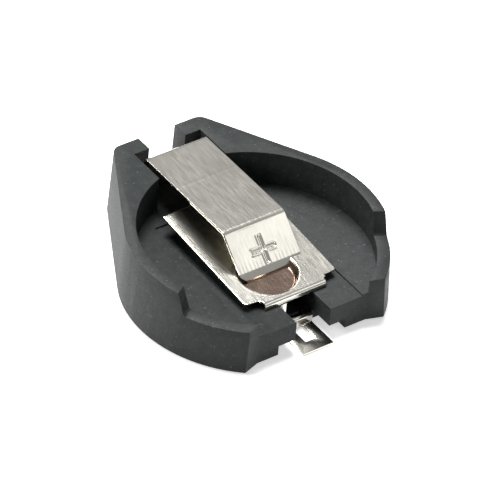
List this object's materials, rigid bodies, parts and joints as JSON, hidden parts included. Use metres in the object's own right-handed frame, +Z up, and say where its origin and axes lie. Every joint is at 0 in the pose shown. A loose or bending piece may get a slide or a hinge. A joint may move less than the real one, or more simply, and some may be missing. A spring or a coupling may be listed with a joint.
{
  "type": "coin cell holder",
  "caption": "Surface-mount holder with an open-fronted round pocket for a coin cell, a sheet contact arm over the pocket and a spring plate on its floor.",
  "frame": {"origin": "on the axis of the cell, at the plane of the board under the solder tabs", "axes": "+Z up from the board along the axis of the cell, -Y towards the open front where the cell slides in, +X to the right seen from the front"},
  "size_m": [0.0228, 0.0258, 0.0066],
  "materials": {
    "housing": "fine moulded texture",
    "contact": "bright plated sheet"
  },
  "bodies": {
    "root": {"housing": "housing", "positive_contact": "contact", "negative_contact": "contact"}
  },
  "joints": []
}
